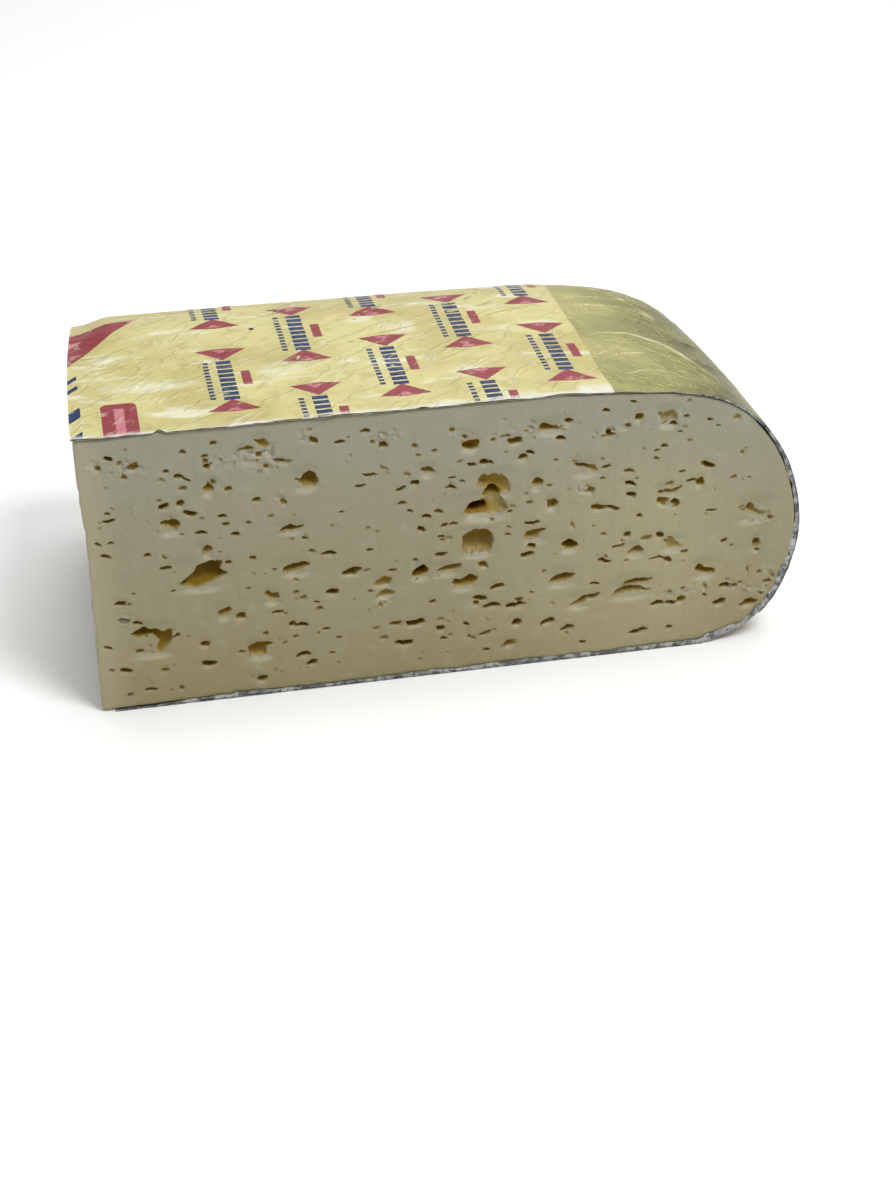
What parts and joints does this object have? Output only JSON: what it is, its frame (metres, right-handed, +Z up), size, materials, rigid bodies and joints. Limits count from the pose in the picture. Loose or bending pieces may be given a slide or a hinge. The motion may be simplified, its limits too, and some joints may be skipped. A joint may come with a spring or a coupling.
{
  "type": "quarter of a foil-wrapped cheese loaf",
  "caption": "Block of semi-hard cheese with two flat cut faces full of flattened eyes, wrapped in gold foil with a patterned label over its top and its bulging sides.",
  "frame": {"origin": "middle of the footprint, on the surface the block rests on", "axes": "+X along the front cut towards the wrapped end, +Y from the front cut towards the wrapped back, +Z up"},
  "size_m": [0.2364, 0.1216, 0.1006],
  "materials": {
    "cheese": "satin",
    "gold_foil": "satin",
    "silver_foil": "satin",
    "label_print": "satin"
  },
  "bodies": {
    "root": {"cheese": "cheese", "foil_wrap": "gold_foil", "foil_base": "silver_foil", "top_label": "label_print"}
  },
  "joints": []
}
